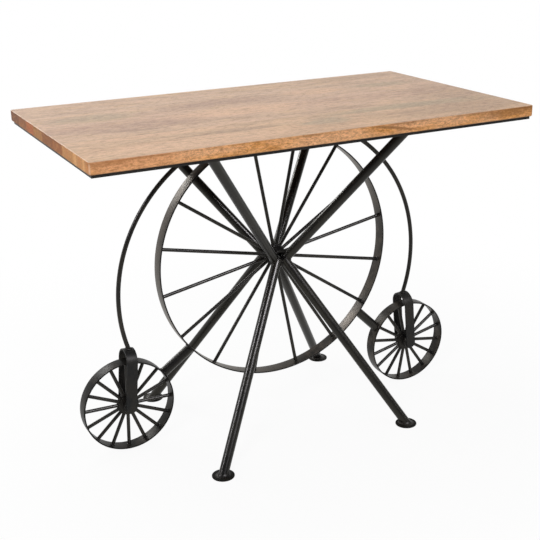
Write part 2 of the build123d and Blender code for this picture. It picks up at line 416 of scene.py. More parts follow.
def operator(operation: str, reflected: bool = False) -> Callable[["Wire", "Wire | float"], "Wire"]:
    """Return the method of an arithmetic sign, which adds a Math node.

    Args:
        operation: The node's operation.
        reflected: Whether the wire is the second operand.

    Returns:
        The method, which takes the wire and the other operand.
    """

    def method(wire: "Wire", other: "Wire | float") -> "Wire":
        """Return the result of the operation."""
        return wire.math(operation, *((other, wire) if reflected else (wire, other)))

    return method


class Wire:
    """An output socket of a node, with arithmetic that adds Math nodes."""

    def __init__(self, graph: "Graph", socket: bpy.types.NodeSocket) -> None:
        """Keep the socket and the graph that it belongs to."""
        self.graph = graph
        self.socket = socket

    def math(self, operation: str, *values: "Wire | float") -> "Wire":
        """Return the result of a Math node whose operands are the values, in order."""
        return self.graph.node("ShaderNodeMath", {"operation": operation}, dict(enumerate(values)))

    __add__ = __radd__ = operator("ADD")
    __sub__, __rsub__ = operator("SUBTRACT"), operator("SUBTRACT", reflected=True)
    __mul__ = __rmul__ = operator("MULTIPLY")
    __truediv__, __rtruediv__ = operator("DIVIDE"), operator("DIVIDE", reflected=True)
    __pow__ = operator("POWER")

    def __abs__(self) -> "Wire":
        """Return the size without its sign."""
        return self.math("ABSOLUTE", self)

    def fraction(self) -> "Wire":
        """Return what is left above the whole number below."""
        return self.math("FRACT", self)

    def above(self, low: float, high: float) -> "Wire":
        """Return a ramp from 0 at the low value to 1 at the high one, eased at both ends."""
        limits = {"Value": self, "From Min": low, "From Max": high}
        return self.graph.node("ShaderNodeMapRange", {"interpolation_type": "SMOOTHSTEP"}, limits)


class Graph:
    """The node tree of a material or the world."""

    def __init__(self, tree: bpy.types.NodeTree) -> None:
        """Take over a tree and empty it."""
        self.tree = tree
        tree.nodes.clear()

    def node(
        self,
        kind: str,
        settings: dict[str, object] | None = None,
        inputs: dict[str | int, object] | None = None,
        output: str | int = 0,
    ) -> Wire:
        """Add a node.

        Args:
            kind: The node's type.
            settings: Its own settings, set first.
            inputs: Values or wires for its sockets, by name or number.
            output: The socket to return.

        Returns:
            The wire of that socket.
        """
        node = self.tree.nodes.new(kind)
        for name, value in (settings or {}).items():
            setattr(node, name, value)
        for name, value in (inputs or {}).items():
            if isinstance(value, Wire):
                self.tree.links.new(value.socket, node.inputs[name])
            elif isinstance(value, tuple) and node.inputs[name].type == "RGBA":
                node.inputs[name].default_value = (*value, 1.0)
            else:
                node.inputs[name].default_value = value
        return Wire(self, node.outputs[output]) if node.outputs else None

    def place(self) -> Wire:
        """Return the point on the object in its own coordinates."""
        return self.node("ShaderNodeTexCoord", output="Object")

    def parts(self, vector: Wire) -> tuple[Wire, Wire, Wire]:
        """Return the three parts of a vector."""
        split = self.node("ShaderNodeSeparateXYZ", inputs={0: vector}).socket.node
        return tuple(Wire(self, socket) for socket in split.outputs)

    def mapped(self, vector: Wire, scale: tuple[float, ...], shift: tuple[float, ...] = (0, 0, 0)) -> Wire:
        """Return a vector scaled along each axis and then shifted."""
        return self.node("ShaderNodeMapping", inputs={"Vector": vector, "Scale": scale, "Location": shift})

    def noise(self, vector: Wire, scale: float = 1.0, detail: float = 2.0, roughness: float = 0.5) -> Wire:
        """Return cloudy noise between 0 and 1."""
        inputs = {"Vector": vector, "Scale": scale, "Detail": detail, "Roughness": roughness}
        return self.node("ShaderNodeTexNoise", inputs=inputs)

    def mix(self, share: Wire | float, first: Wire | Rgb, second: Wire | Rgb) -> Wire:
        """Return a colour between the first, at share 0, and the second, at share 1."""
        return self.node("ShaderNodeMix", {"data_type": "RGBA"}, {0: share, 6: first, 7: second}, output=2)

    def bump(self, height: Wire, strength: float, depth: float) -> Wire:
        """Return normals tilted by a height."""
        inputs = {"Height": height, "Strength": strength, "Distance": depth}
        return self.node("ShaderNodeBump", inputs=inputs)

    def ray(self, kind: str) -> Wire:
        """Return 1 for rays of a kind and 0 for others."""
        return self.node("ShaderNodeLightPath", output=f"Is {kind} Ray")

    def surface(self, shader: Wire) -> None:
        """Make a shader the tree's result."""
        kind = "World" if isinstance(self.tree.id_data, bpy.types.World) else "Material"
        self.node(f"ShaderNodeOutput{kind}", inputs={"Surface": shader})

    def principled(self, inputs: dict[str, object]) -> None:
        """Make a Principled shader with these inputs the tree's result."""
        self.surface(self.node("ShaderNodeBsdfPrincipled", inputs=inputs))


def new_graph(name: str) -> tuple[Material, Graph]:
    """Return a new material and its empty graph.

    Args:
        name: The material's name.

    Returns:
        The material and the graph of its nodes.
    """
    material = bpy.data.materials.new(name)
    material.use_nodes = True
    return material, Graph(material.node_tree)


# ---- finishes ----


@dataclass(frozen=True)
class Figure:
    """A soft patch of colour in the wood: an ellipsoid, long along the grain, that may slope along X."""

    middle: Point
    reach: Point
    colour: Rgb
    share: float
    slope: float = 0.0

    def over(self, colour: Wire, place: tuple[Wire, Wire, Wire]) -> Wire:
        """Return a colour with the patch laid over it, fading out between 0.4 and 1.1 reaches away.

        Args:
            colour: The colour under the patch.
            place: The X, Y and Z to measure from, already warped by the grain.

        Returns:
            The mixed colour.
        """
        x, y, z = (part - middle for part, middle in zip(place, self.middle))
        z = z + x * self.slope
        away = (x / self.reach[0]) ** 2 + (y / self.reach[1]) ** 2 + (z / self.reach[2]) ** 2
        share = (1 - (away**0.5).above(0.4, 1.1)) * self.share
        return colour.graph.mix(share, colour, self.colour)


@dataclass(frozen=True)
class StaveTone:
    """What sets one stave apart: its colours and where its log's heart lay."""

    pale: Rgb
    brown: Rgb
    end: Rgb
    heart_depth: float
    heart_side: float


@dataclass(frozen=True)
class WoodFinish:
    """One stave's wood: cloudy, porous hardwood, rubbed pale on the face and warmer on its cut edges."""

    name: str
    seed: float
    tone: StaveTone
    length: float
    top_level: float
    figures: tuple[Figure, ...] = ()
    edge_figures: tuple[Figure, ...] = ()
    grey: Rgb = linear(160, 142, 122)
    mauve: Rgb = linear(166, 132, 116)
    cream: Rgb = linear(220, 186, 146)
    edge: Rgb = linear(234, 164, 90)
    edge_pink: Rgb = linear(252, 192, 140)
    dark: Rgb = linear(112, 66, 32)
    fleck: Rgb = linear(120, 92, 70)
    underside: Rgb = linear(126, 100, 76)
    thickness: float = 25.0 * MM
    ring_spacing: float = 5.5 * MM
    heart_tilt: float = 0.05

    def material(self, side: float) -> Material:
        """Return the material of the stave.

        The grain is a solid pattern. Growth rings are the fraction of the distance from the log's
        heart, which runs nearly along X under the stave, and clouds stretched along X bend them. The
        edges show the same wood before it was rubbed down: warmer and speckled with open grain.

        Args:
            side: The Y of the stave's middle line.

        Returns:
            The material.
        """
        material, g = new_graph(self.name)
        place = g.place()
        x, y, z = g.parts(place)

        def grain(scale: tuple[float, ...], detail: int, roughness: float = 0.5) -> Wire:
            """Return the stave's own noise, finer along an axis where its scale is larger."""
            shift = (self.seed, self.seed * 1.7, self.seed * 0.6)
            return g.noise(g.mapped(place, scale, shift), detail=detail, roughness=roughness)

        cloud = grain((5, 26, 26), 3, 0.6)
        drift = grain((9, 22, 22), 2)
        middling = grain((13, 120, 120), 3, 0.65)
        fibre = grain((30, 680, 680), 2, 0.7)
        grit = grain((85, 230, 230), 3, 0.7)
        specks = grain((60, 105, 105), 4, 0.75)
        open_grain = grain((190, 420, 420), 3, 0.75)
        pores = grain((130, 1000, 1000), 1).above(0.60, 0.72)

        across = y - (side + self.tone.heart_side) + (drift - 0.5) * 0.05
        down = z - (self.top_level - self.tone.heart_depth) + x * self.heart_tilt
        from_heart = (across * across + down * down) ** 0.5
        ring = (from_heart / self.ring_spacing + middling * 0.9).fraction()
        ring_line = ring.above(0.50, 1.0) * (1 - ring.above(0.94, 1.0))

        warped = (x + (drift - 0.5) * 0.16 + (middling - 0.5) * 0.10, y + (cloud - 0.5) * 0.05, z)
        face = g.mix(cloud.above(0.36, 0.64), self.tone.pale, self.tone.brown)
        face = g.mix((1 - drift).above(0.50, 0.72) * 0.35, face, self.cream)
        for figure in self.figures:
            face = figure.over(face, warped)
        face = g.mix(middling.above(0.48, 0.72) * 0.40, face, self.grey)
        face = g.mix((1 - middling).above(0.50, 0.72) * 0.30, face, self.cream)
        face = g.mix(ring_line * 0.16, face, self.mauve)
        face = g.mix(grit.above(0.52, 0.72) * 0.34, face, self.mauve)
        face = g.mix(specks.above(0.46, 0.72) * 0.42, face, self.fleck)
        face = g.mix((1 - specks).above(0.48, 0.70) * 0.34, face, self.cream)
        face = g.mix(fibre.above(0.42, 0.75) * 0.20, face, self.fleck)
        face = g.mix(pores * 0.42, face, self.fleck)

        side_colour = g.mix(cloud.above(0.36, 0.64), self.edge, self.edge_pink)
        end_colour = g.mix(specks.above(0.46, 0.66) * 0.30, self.tone.end, self.edge)
        at_end = abs(x).above(self.length / 2 - 3.0 * MM, self.length / 2 - 1.0 * MM)
        cut = g.mix(at_end, side_colour, end_colour)
        cut = g.mix(ring_line * 0.22, cut, self.dark)
        cut = g.mix((1 - grit).above(0.48, 0.70) * (1 - at_end) * 0.40, cut, self.edge_pink)
        cut = g.mix(grit.above(0.42, 0.76) * 0.40, cut, self.dark)
        cut = g.mix(open_grain.above(0.40, 0.68) * 0.50, cut, self.dark)
        deep = self.top_level - z
        lip = deep.above(0.9 * MM, 2.0 * MM) * (1 - deep.above(2.2 * MM, 7.5 * MM))
        lip = lip * grain((7, 0, 0), 3).above(0.40, 0.62)
        cut = g.mix(lip * 0.55, cut, self.dark)
        for figure in self.edge_figures:
            cut = figure.over(cut, (x + (middling - 0.5) * 0.004, y, z + (drift - 0.5) * 0.008))

        # Painted shade: the lowest 2.5 mm of the stave, along its lower rounding and underneath, is painted
        # a darker brown.
        under = deep.above(self.thickness - 2.5 * MM, self.thickness - 0.5 * MM)
        cut = g.mix(under, cut, self.underside)
        height = fibre * 0.35 - pores * 0.9 - ring_line * 0.2 + grit * 0.8
        g.principled(
            {
                "Base Color": g.mix(deep.above(0.4 * MM, 1.5 * MM), face, cut),
                "Roughness": 0.44 + fibre * 0.12 + pores * 0.15,
                "IOR": 1.45,
                "Specular IOR Level": 0.18,
                "Normal": g.bump(height, 0.35, 0.2 * MM),
            }
        )
        return material


@dataclass(frozen=True)
class PaintFinish:
    """Satin black paint over steel, a little uneven in tone and sheen.

    Where an edge reach is given, what lies further than that from the XZ plane is painted darker:
    painted shade on the narrow edges of a band, which face the dim room.
    """

    name: str
    cool: Screen = (16, 15, 17)
    warm: Screen = (27, 25, 22)
    roughness: float = 0.3
    metallic: float = 0.0
    specular: float = 0.3
    bump_depth: float = 0.02 * MM
    patch_size: float = 60 * MM
    patch_contrast: float = 0.14
    edge_reach: float = 0.0
    edge: Screen = (20, 19, 19)
    edge_fade: float = 0.8 * MM
    peel_scale: float = 700.0
    speck_scale: float = 420.0
    tint: Rgb = (1.0, 0.96, 0.82)

    def material(self) -> Material:
        """Return the material: slow patches of tone, fine orange peel and a scatter of dull specks.

        Returns:
            The material, on Object coordinates.
        """
        material, g = new_graph(self.name)
        place = g.place()
        patch = g.noise(place, scale=1 / self.patch_size, detail=3, roughness=0.6)
        peel = g.noise(place, scale=self.peel_scale, detail=2)
        specks = g.noise(place, scale=self.speck_scale, detail=1).above(0.66, 0.78)
        patch_share = patch.above(0.5 - self.patch_contrast, 0.5 + self.patch_contrast)
        cool, warm = linear(*self.cool), linear(*self.warm)
        colour = g.mix(specks * 0.2, g.mix(patch_share, cool, warm), warm)
        if self.edge_reach:
            _, side, _ = g.parts(place)
            # Painted shade: the band's narrow edges are painted darker, for the dim room that they face.
            edge_shade_share = abs(side).above(self.edge_reach - self.edge_fade, self.edge_reach)
            colour = g.mix(edge_shade_share, colour, linear(*self.edge))
        g.principled(
            {
                "Base Color": colour,
                "Metallic": self.metallic,
                "Roughness": self.roughness + (patch - 0.5) * 0.12 + specks * 0.02,
                "Specular IOR Level": self.specular,
                "Specular Tint": self.tint,
                "Normal": g.bump(peel, 0.1, self.bump_depth),
            }
        )
        return material


@dataclass(frozen=True)
class ZincFinish:
    """Bright zinc plating, slightly clouded."""

    name: str = "zinc_plating"
    bright: Screen = (190, 188, 180)
    dull: Screen = (140, 138, 134)

    def material(self) -> Material:
        """Return the material: plated metal whose sheen clouds from place to place.

        Returns:
            The material, on Object coordinates.
        """
        material, g = new_graph(self.name)
        cloud = g.noise(g.place(), scale=600, detail=3)
        colour = g.mix(cloud, linear(*self.bright), linear(*self.dull))
        g.principled({"Base Color": colour, "Metallic": 1.0, "Roughness": 0.25 + cloud * 0.25})
        return material


@dataclass(frozen=True)
class Finishes:
    """The metal finishes that the sub-assemblies share."""

    tube: Material
    band: Material
    left_band: Material
    right_band: Material
    rod: Material
    flat: Material
    plate: Material
    weld: Material
    zinc: Material


def metal_finishes() -> Finishes:
    """Make the metal finishes.

    Returns:
        The finished materials, each for its use.
    """
    main_edge, small_edge = (half_of(f"{name}_wheel_rim")[1] - 0.4 * MM for name in ("main", "left"))
    # The small bands are one paint in two copies: the left copy is darker, painted shade for the dim room
    # it reflects.
    left_band_shaded = PaintFinish(
        "left_band_paint", (18, 17, 16), (45, 41, 38), 0.38,
        specular=0.08, patch_size=30 * MM, patch_contrast=0.12, edge_reach=small_edge,
    )
    paints = {
        "tube": PaintFinish("black_tube_paint"),
        "band": PaintFinish(
            "gunmetal_band_paint", (29, 27, 25), (62, 56, 50), 0.34, metallic=0.4,
            tint=(1.0, 0.94, 0.86), patch_size=38 * MM, patch_contrast=0.12, edge_reach=main_edge,
        ),
        "left_band": left_band_shaded,
        "right_band": replace(
            left_band_shaded, name="right_band_paint", cool=(28, 26, 25), warm=(66, 61, 56), specular=0.12
        ),
        "rod": PaintFinish("black_rod_paint", (20, 19, 20), (36, 33, 30), 0.36),
        "flat": PaintFinish("black_flat_bar_paint", (31, 32, 34), (43, 41, 39), 0.46, specular=0.14),
        "plate": PaintFinish("black_plate_paint", (20, 20, 19), (34, 32, 28), 0.5, specular=0.07),
        "weld": PaintFinish(
            "black_weld_paint", (18, 17, 18), (36, 33, 30), 0.4, specular=0.2, bump_depth=0.1 * MM
        ),
        "zinc": ZincFinish(),
    }
    return Finishes(**{use: paint.material() for use, paint in paints.items()})


# ---- sub-assemblies ----


PEACH = linear(220, 184, 156)
MAUVE = linear(176, 148, 132)
OLIVE = linear(174, 158, 136)
# A darker tone of the face: a dark figure at the front left, and painted shade towards the right end of the
# top.
DARK_FIGURE_AND_SHADE = linear(168, 142, 122)
UMBER = linear(122, 80, 46)
# Painted highlight colour for the rounding of the top's front-left corner.
PAINTED_CORNER_HIGHLIGHT = linear(244, 212, 188)
TAN = linear(240, 186, 124)
AMBER = linear(196, 118, 56)

TOP_LEVEL = 0.75

STAVE_TONES = tuple(
    StaveTone(linear(*pale), linear(*brown), linear(*end), heart_depth, heart_side)
    for pale, brown, end, heart_depth, heart_side in (
        ((216, 181, 150), (200, 165, 137), (210, 148, 84), 0.09, 0.02),
        ((212, 179, 150), (193, 163, 138), (202, 142, 80), 0.05, -0.01),
        ((208, 177, 153), (190, 161, 140), (158, 91, 30), 0.04, 0.01),
        ((208, 176, 154), (192, 160, 141), (144, 83, 26), 0.07, 0.02),
        ((210, 179, 157), (194, 164, 144), (177, 121, 58), 0.04, -0.02),
        ((210, 180, 157), (193, 165, 145), (182, 98, 44), 0.05, 0.0),
        ((210, 182, 159), (194, 166, 146), (146, 86, 38), 0.08, 0.02),
        ((210, 180, 157), (192, 164, 144), (116, 66, 26), 0.06, -0.01),
    )
)

FACE_FIGURES = tuple(
    Figure((x, y, TOP_LEVEL), (reach_x, reach_y, 0.02), colour, share)
    for x, y, reach_x, reach_y, colour, share in (
        (-0.07, 0.00, 0.20, 0.055, PEACH, 0.90),
        (-0.06, 0.11, 0.20, 0.050, MAUVE, 0.80),
        (-0.38, 0.09, 0.11, 0.045, OLIVE, 0.75),
        (-0.34, -0.03, 0.20, 0.055, MAUVE, 0.75),
        (0.28, -0.14, 0.28, 0.030, OLIVE, 0.85),
        (0.05, -0.19, 0.06, 0.035, OLIVE, 0.80),
        (-0.19, -0.18, 0.13, 0.025, DARK_FIGURE_AND_SHADE, 0.80),
        (0.17, 0.12, 0.08, 0.050, PEACH, 0.65),
        (0.38, 0.12, 0.10, 0.030, OLIVE, 0.65),
        # Painted shade: the next two patches darken the right end of the top, where the light falls off.
        (0.45, -0.05, 0.10, 0.150, DARK_FIGURE_AND_SHADE, 0.45),
        (0.36, 0.24, 0.20, 0.030, DARK_FIGURE_AND_SHADE, 0.50),
        # Peach figure in the wood, also painted light: these two patches brighten the front left, where the
        # key lamp falls.
        (-0.28, -0.23, 0.26, 0.050, PEACH, 0.70),
        (-0.30, -0.13, 0.22, 0.022, PEACH, 0.60),
        # Painted shade: a darker patch at the front right, where the light falls off.
        (0.36, -0.22, 0.24, 0.070, DARK_FIGURE_AND_SHADE, 0.60),
    )
)

EDGE_FIGURES = (
    Figure((0.14, -0.2825, 0.740), (0.07, 0.02, 0.004), UMBER, 0.65, 0.16),
    Figure((0.44, -0.2825, 0.742), (0.10, 0.03, 0.012), UMBER, 0.45, -0.05),
    Figure((-0.48, -0.2825, 0.744), (0.06, 0.03, 0.006), UMBER, 0.45, 0.05),
    Figure((-0.43, -0.2825, 0.737), (0.13, 0.03, 0.04), AMBER, 0.30),
    Figure((-0.505, -0.200, 0.737), (0.004, 0.012, 0.04), TAN, 0.40),
    Figure((-0.505, -0.228, 0.735), (0.004, 0.009, 0.04), AMBER, 0.35),
    Figure((-0.505, -0.252, 0.737), (0.004, 0.008, 0.04), TAN, 0.35),
    Figure((-0.505, -0.272, 0.737), (0.004, 0.007, 0.04), AMBER, 0.30),
    Figure((-0.505, -0.150, 0.737), (0.004, 0.012, 0.04), AMBER, 0.25),
    # Painted highlight: a pale patch on the front-left corner's rounding, where the key lamp catches it.
    Figure((-0.506, -0.283, 0.735), (0.0048, 0.0048, 0.02), PAINTED_CORNER_HIGHLIGHT, 0.75),
)


@dataclass
class TableTop:
    """The wooden top: eight staves, front to back, glued edge to edge and rubbed down together."""

    tones: tuple[StaveTone, ...] = STAVE_TONES
    figures: tuple[Figure, ...] = FACE_FIGURES
    edge_figures: tuple[Figure, ...] = EDGE_FIGURES
    seed_step: float = 3.7

    def dress(self) -> None:
        """Give each stave its own wood, with the patches that reach it."""
        length = 2 * half_of("top_stave_1")[0]
        top_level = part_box("top_stave_1")[1].z
        for number, tone in enumerate(self.tones, start=1):
            node = f"top_stave_{number}"
            side, half_width = middle_of(node)[1], half_of(node)[1]
            near = [
                tuple(f for f in figures if abs(f.middle[1] - side) < 1.6 * f.reach[1] + half_width)
                for figures in (self.figures, self.edge_figures)
            ]
            name, seed = f"stave_wood_{number}", number * self.seed_step
            dress(node, WoodFinish(name, seed, tone, length, top_level, *near).material(side))


@dataclass
class SteelFrame:
    """The flat-bar frame under the top, with its screws and corner welds."""

    finishes: Finishes
    bars: tuple[str, ...] = (
        "front_bar", "back_bar", "left_bar", "right_bar", "left_cross_rail", "right_cross_rail"
    )
    screw_end_distance: float = 100 * MM
    head_radius: float = 4.5 * MM
    head_height: float = 3.0 * MM
    recess_depth: float = 1.5 * MM
    recess_width: float = 0.9 * MM
    recess_reach: float = 2.6 * MM
    recess_slope: float = 0.35 * MM
    recess_end_slope: float = 0.6 * MM
    dome: float = 0.35
    weld: Weld = Weld(radius=1.5 * MM)

    def screw_places(self) -> list[Array]:
        """Return where the screws' heads seat: three along each long bar and one amid each end bar.

        Returns:
            The places, at the frame's underside.
        """
        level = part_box("frame_front_bar")[0].z
        reach = half_of("frame_front_bar")[0] - self.screw_end_distance
        long_bars = [middle_of(f"frame_{bar}")[1] for bar in self.bars[:2]]
        places = [(x, y, level) for y in long_bars for x in (-reach, 0.0, reach)]
        places += [(middle_of(f"frame_{bar}")[0], 0.0, level) for bar in self.bars[2:4]]
        return [np.array(place) for place in places]

    def screw_head(self, place: Array) -> Array:
        """Return one domed head that hangs under its seat, with a cross recess.

        The face's depth is a dome, which falls with the radius squared, less the recess, deep near
        the middle line of either slot. The rim then runs up to the seat and closes at the middle.

        Args:
            place: The middle of its seat.

        Returns:
            The head's grid, from the middle of the face outwards.
        """
        share = np.concatenate([np.linspace(0, 1, 15), [1.0, 0.0]])[:, None]
        angle = np.linspace(0, FULL_TURN, 49)[None, :]
        radius = share * self.head_radius
        across, up = radius * np.cos(angle), radius * np.sin(angle)
        narrow = np.minimum(abs(across), abs(up))
        slot = np.clip((self.recess_width - narrow) / self.recess_slope, 0, 1)
        slot = slot * np.clip((self.recess_reach - radius) / self.recess_end_slope, 0, 1)
        depth = self.head_height * (1 - self.dome * share**2) - slot * self.recess_depth
        depth[-2:] = 0.0
        return np.stack([place[0] + across, place[1] + up, place[2] - depth], axis=-1)

    def corner_welds(self) -> list[Array]:
        """Return the beads under the frame where its bars butt together.

        Returns:
            A grid for each bead.
        """
        grids = []
        for bar in self.bars[2:]:
            centre, half = middle_of(f"frame_{bar}"), half_of(f"frame_{bar}")
            for side in (-1, 1):
                joint = centre + half * (0, side, -1) + 0.4 * MM * AXIS_Z
                path = joint + np.linspace(-0.96, 0.96, 60)[:, None] * half[0] * AXIS_X
                hub = centre + half * (0, side, 0) + AXIS_Z
                grids.append(self.weld.along(path, hub, closed=False))
        return grids

    def build(self) -> None:
        """Dress the bars and add the screws and welds."""
        for bar in (*self.bars, "centre_rail"):
            dress(f"frame_{bar}", self.finishes.flat)
        heads = [self.screw_head(place) for place in self.screw_places()]
        add_piece("screw_heads", heads, self.finishes.zinc, ("top_screws",))
        add_piece("frame_corner_welds", self.corner_welds(), self.finishes.weld)


@dataclass
class SpokedWheel:
    """A wheel: a flat band bent to a hoop, a hub with a collar, and round spokes between them."""

    name: str
    spoke_nodes: tuple[str, ...]
    spoke_start: float
    band_paint: Material
    finishes: Finishes
    spoke_count: int = 16
    band_thickness: float = 3.0 * MM
    spoke_radius: float = 4.0 * MM
    pipe_radius: float = 15.0 * MM
    bore_radius: float = 10.0 * MM
    collar_width: float = 16.0 * MM
    edge_rounding: float = 0.9 * MM
    weld_ring: float = 1.06
    weld_out: float = 0.3 * MM
    weld_swell: float = 0.4 * MM
    weld_depth: float = 0.72
    weld_depth_swell: float = 0.12
    round_steps: int = 96
    hoop_steps: int = 240
    hub_weld: Weld = Weld(radius=1.7 * MM, ripple_length=4.5 * MM)
    rim_weld: Weld = Weld(radius=1.3 * MM, ripple_length=2.2 * MM, around=8)

    def __post_init__(self) -> None:
        """Take the wheel's place and size from the frame."""
        rim, hub = half_of(f"{self.name}_rim"), half_of(f"{self.name}_hub")
        self.centre = middle_of(f"{self.name}_rim")
        self.radius, self.band_width = rim[2], 2 * rim[1]
        self.collar_radius, self.hub_length = hub[2], 2 * hub[1]

    def turn(self, outline: Array, steps: int) -> Array:
        """Return an outline turned about the hub's axis."""
        return turned(outline, self.centre, steps, AXIS_X, AXIS_Z, AXIS_Y)

    def hoop(self) -> Array:
        """Return the hoop: a softened rectangle turned about the hub's axis."""
        outline = softened(rectangle(self.band_thickness, self.band_width), self.edge_rounding)
        return self.turn(outline + [self.radius - self.band_thickness / 2, 0.0], self.hoop_steps)

    def hub(self) -> Array:
        """Return the hub: the softened section of a collared pipe turned about its axis.

        Returns:
            The hub's grid.
        """
        half, collar = self.hub_length / 2, self.collar_width / 2
        front = [
            (self.bore_radius, -half), (self.pipe_radius, -half),
            (self.pipe_radius, -collar), (self.collar_radius, -collar),
        ]
        section = front + [(radius, -depth) for radius, depth in reversed(front)]
        return self.turn(softened(section, self.edge_rounding), self.round_steps)

    def spoke_ways(self) -> Array:
        """Return the directions of the spokes."""
        angle = self.spoke_start + FULL_TURN * np.arange(self.spoke_count)[:, None] / self.spoke_count
        return around(angle, AXIS_X, AXIS_Z)

    def hub_welds(self) -> list[Array]:
        """Return the two beads that run round the collar, one on each face of the spokes.

        Each is a circle about the axis whose radius swells between the spokes.

        Returns:
            A grid for each bead.
        """
        angle = np.linspace(0, FULL_TURN, 4 * self.round_steps + 1)[:-1, None]
        between = np.cos(self.spoke_count * (angle - self.spoke_start))
        radius = self.collar_radius + self.weld_out - self.weld_swell * between
        ring = radius * around(angle, AXIS_X, AXIS_Z)
        out = self.spoke_radius * (self.weld_depth + self.weld_depth_swell * between) * AXIS_Y
        paths = [self.centre + ring + face.value * out for face in Face]
        return [self.hub_weld.along(path, self.centre)[:, ::-1] for path in paths]

    def rim_welds(self) -> list[Array]:
        """Return the bead round the end of each spoke, on the inside of the hoop.

        Returns:
            A grid for each spoke.
        """
        angle = np.linspace(0, FULL_TURN, self.round_steps // 2 + 1)[:-1, None]
        reach = self.radius - self.band_thickness
        grids = []
        for way in self.spoke_ways():
            level = np.cross(way, AXIS_Y)
            ring = self.spoke_radius * self.weld_ring * around(angle, level, AXIS_Y)
            distance = np.sqrt(reach**2 - (ring @ level) ** 2)[:, None]
            path = self.centre + ring + distance * way
            grids.append(self.rim_weld.along(path, self.centre + distance.mean() * way))
        return grids

    def build(self) -> None:
        """Make the hoop, the hub and the welds, and dress the spokes."""
        weld = self.finishes.weld
        add_piece(f"{self.name}_hoop", [self.hoop()], self.band_paint, (f"{self.name}_rim",))
        add_piece(f"{self.name}_collared_hub", [self.hub()], weld, (f"{self.name}_hub",))
        add_piece(f"{self.name}_hub_welds", self.hub_welds(), weld)
        add_piece(f"{self.name}_rim_welds", self.rim_welds(), weld)
        for node in self.spoke_nodes:
            dress(node, self.finishes.rod)


